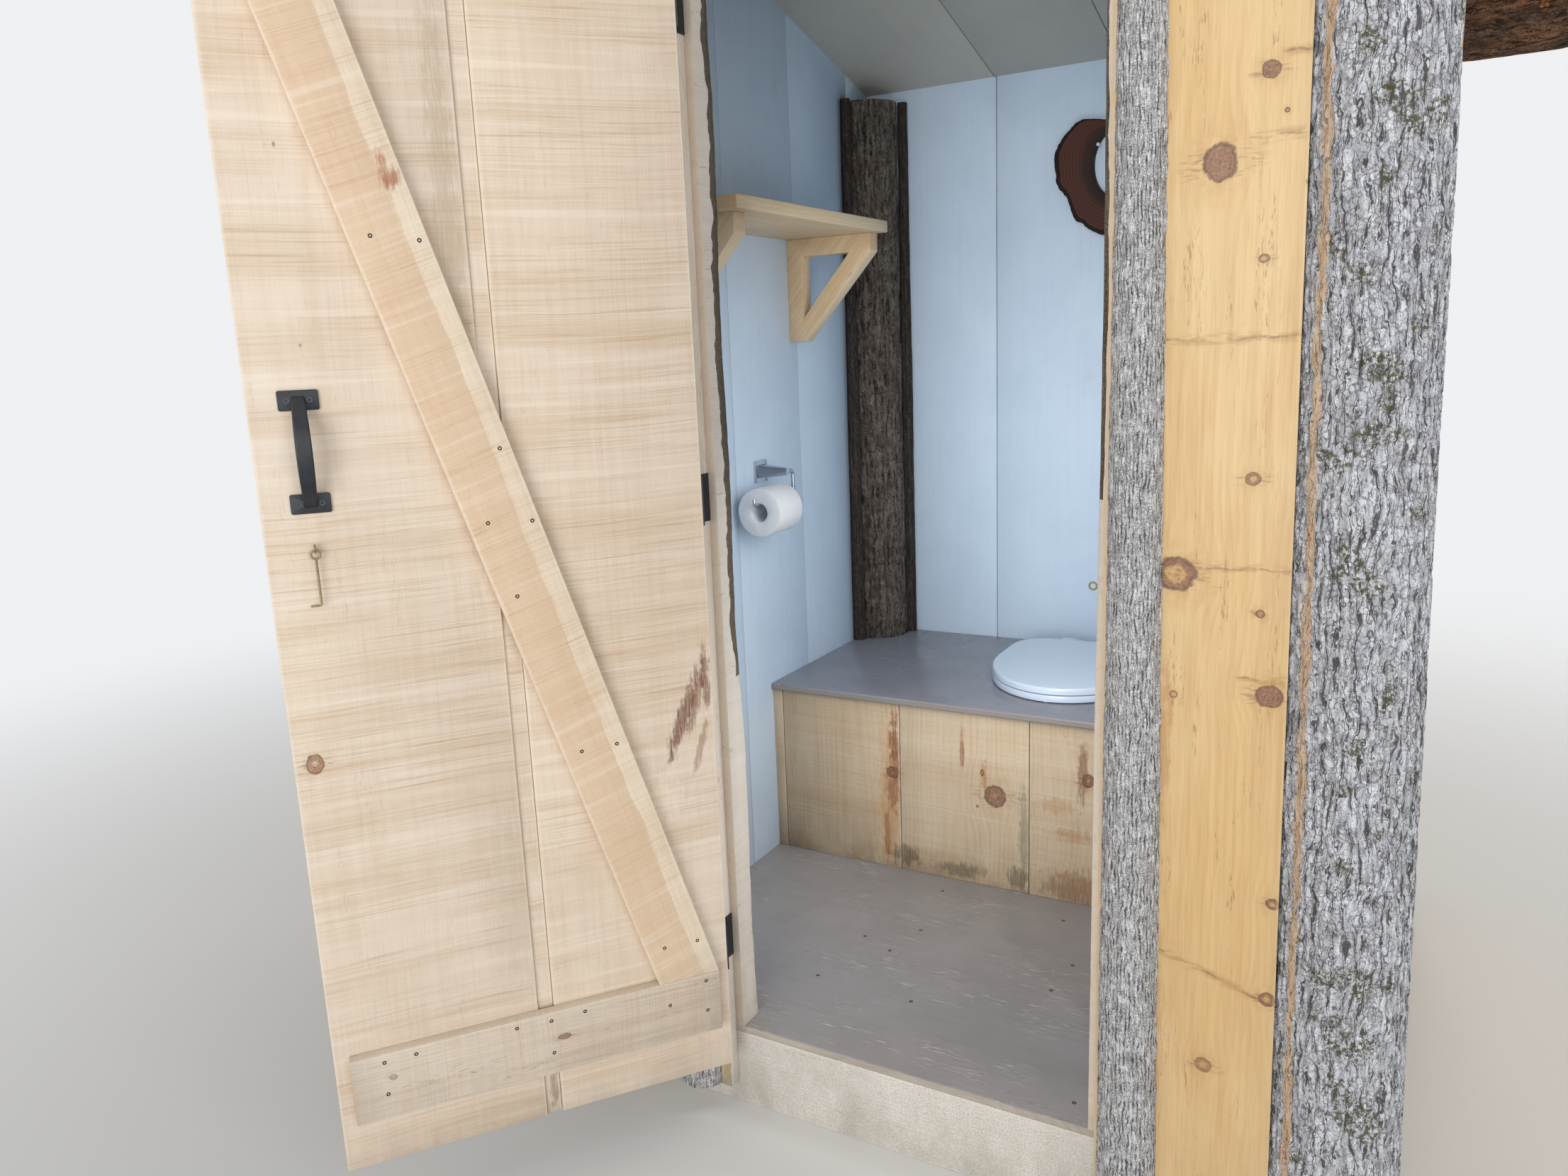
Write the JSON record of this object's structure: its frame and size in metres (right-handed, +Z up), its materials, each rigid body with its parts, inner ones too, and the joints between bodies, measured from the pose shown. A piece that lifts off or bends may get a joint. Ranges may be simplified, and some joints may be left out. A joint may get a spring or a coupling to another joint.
{
  "type": "wooden outhouse",
  "caption": "Small log-cornered outhouse with a braced plank door standing open on a white lined room with a bench, seat, shelf and paper holder, under a shed roof.",
  "frame": {"origin": "on the ground at the middle of the floor frame, on the underside of the middle joist", "axes": "+X to the right as one faces the door, +Y in through the doorway, +Z up"},
  "size_m": [2.041, 2.1124, 2.5344],
  "materials": {
    "bark_post": "furrowed grey bark",
    "dark_bark": "dark brown bark",
    "yellow_pine": "oiled knotty pine",
    "rough_pine": "rough sawn pine with cross saw marks",
    "plain_pine": "bare pine",
    "knotty_pine": "knotty pine, water stained",
    "white_paint": "satin white paint",
    "grey_paint": "satin grey-brown floor paint",
    "weathered_rim": "weathered grey wood",
    "roof_metal": "painted ribbed sheet",
    "seat_enamel": "gloss white",
    "black_iron": "matt black",
    "dull_wire": "dull brassed wire",
    "holder_chrome": "polished chrome",
    "tissue": "soft white paper",
    "disc_wood": "dark red-brown end grain with bark edge"
  },
  "bodies": {
    "house": {"back_left_post": "dark_bark", "back_lining": "white_paint", "back_plate_log": "dark_bark", "back_right_post": "dark_bark", "back_wall_boards": "yellow_pine", "bench_bearers": "plain_pine", "bench_front": "knotty_pine", "bench_top": "grey_paint", "ceiling_battens": "plain_pine", "ceiling_boards": "white_paint", "corner_saplings": "dark_bark", "fascia_boards": "plain_pine", "floor_deck": "grey_paint", "floor_joists": "plain_pine", "front_head_board": "yellow_pine", "front_left_board": "yellow_pine", "front_left_post": "bark_post", "front_lining": "white_paint", "front_plate_log": "bark_post", "front_right_board": "yellow_pine", "front_right_post": "bark_post", "head_half_log": "bark_post", "head_jamb": "plain_pine", "jamb_hinge_leaves": "black_iron", "left_half_log": "bark_post", "left_jamb": "plain_pine", "left_lining": "white_paint", "left_wall_boards": "yellow_pine", "paper_holder": "holder_chrome", "rafters": "plain_pine", "right_half_log": "bark_post", "right_jamb": "plain_pine", "right_lining": "white_paint", "right_wall_boards": "yellow_pine", "rim_boards": "weathered_rim", "roof_boards": "plain_pine", "roof_sheets": "roof_metal", "screw_eye": "dull_wire", "seat_hinge": "seat_enamel", "seat_ring": "seat_enamel", "shelf_board": "plain_pine", "shelf_brackets": "plain_pine", "wall_disc": "disc_wood", "wall_girts": "plain_pine"},
    "door": {"door_boards": "rough_pine", "door_battens": "rough_pine", "door_brace": "rough_pine", "door_pulls": "black_iron", "door_hinge_leaves": "black_iron", "hook_eye": "dull_wire"},
    "lid": {"seat_lid": "seat_enamel"},
    "hook": {"latch_hook": "dull_wire"},
    "roll": {"paper_roll": "tissue"}
  },
  "joints": [
    {"name": "door_hinge", "type": "hinge", "parent": "house", "child": "door", "pos_m": [-0.315, -0.6955, 0.111], "axis": [0, 0, 1], "range_deg": [-6, 128]},
    {"name": "lid_hinge", "type": "hinge", "parent": "house", "child": "lid", "pos_m": [0, 0.532, 0.579], "axis": [-1, 0, 0], "range_deg": [0, 97]},
    {"name": "hook_swing", "type": "hinge", "parent": "door", "child": "hook", "pos_m": [-0.63457, -1.16219, 1.066], "axis": [0.788, -0.6157, 0], "range_deg": [-26, 90]},
    {"name": "roll_turn", "type": "hinge", "parent": "house", "child": "roll", "pos_m": [-0.5525, -0.0705, 0.9753], "axis": [0, 1, 0], "continuous": true}
  ]
}
